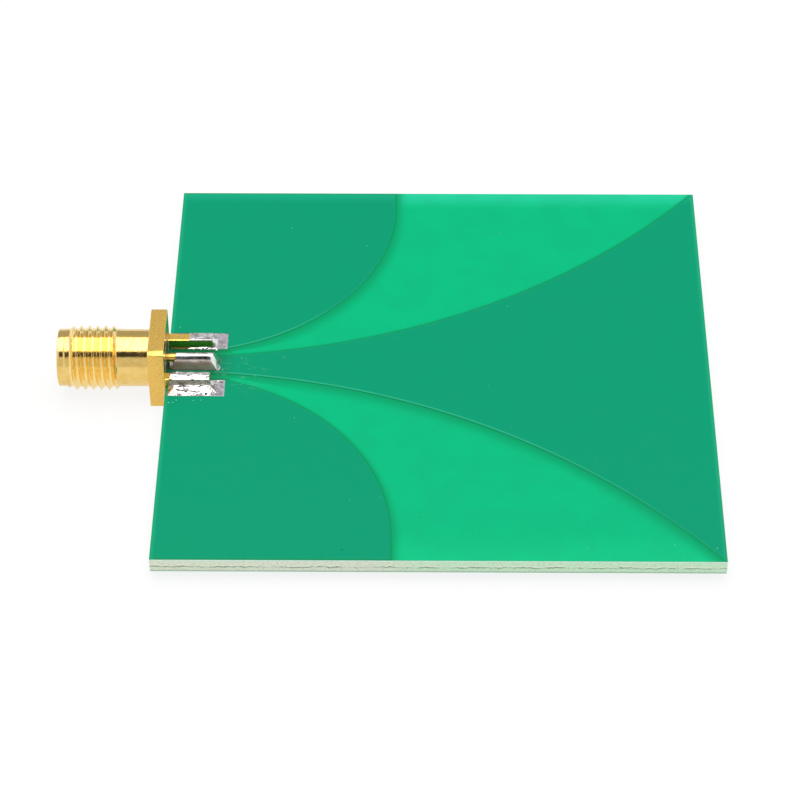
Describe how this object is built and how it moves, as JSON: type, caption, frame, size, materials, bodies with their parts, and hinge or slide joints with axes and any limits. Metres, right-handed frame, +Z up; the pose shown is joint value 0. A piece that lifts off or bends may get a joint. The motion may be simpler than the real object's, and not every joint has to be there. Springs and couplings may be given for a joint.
{
  "type": "uwb antenna module",
  "caption": "Printed wide-band antenna: a square green circuit board with a flared radiator and round-edged grounds, fed by a gold edge-launch coaxial jack.",
  "frame": {"origin": "on the jack's axis at its mating reference plane, the front face of the insulator", "axes": "+X from the jack towards the board's far edge, +Y across the board, +Z up out of the copper face"},
  "size_m": [0.0623, 0.052, 0.0066],
  "materials": {
    "laminate": "sawn glass-fibre laminate",
    "copper": "etched copper foil",
    "solder_mask": "green lacquer, semi-gloss",
    "tin": "hot-air levelled tin",
    "solder": "bright hand-soldered joint",
    "gold": "gold plating over brass",
    "insulator": "white fluoropolymer"
  },
  "bodies": {
    "root": {"laminate": "laminate", "ground_copper_far": "copper", "ground_copper_near": "copper", "radiator_copper": "copper", "lower_pad_copper_far": "copper", "lower_pad_copper_near": "copper", "pad_tin_far": "tin", "pad_tin_near": "tin", "feed_tin": "tin", "lower_tin_far": "tin", "lower_tin_near": "tin", "mask_top": "solder_mask", "mask_bottom": "solder_mask", "jack_body": "gold", "insulator": "insulator", "center_contact": "gold", "solder_far": "solder", "solder_near": "solder", "solder_feed": "solder", "lower_solder_far": "solder", "lower_solder_near": "solder"}
  },
  "joints": []
}
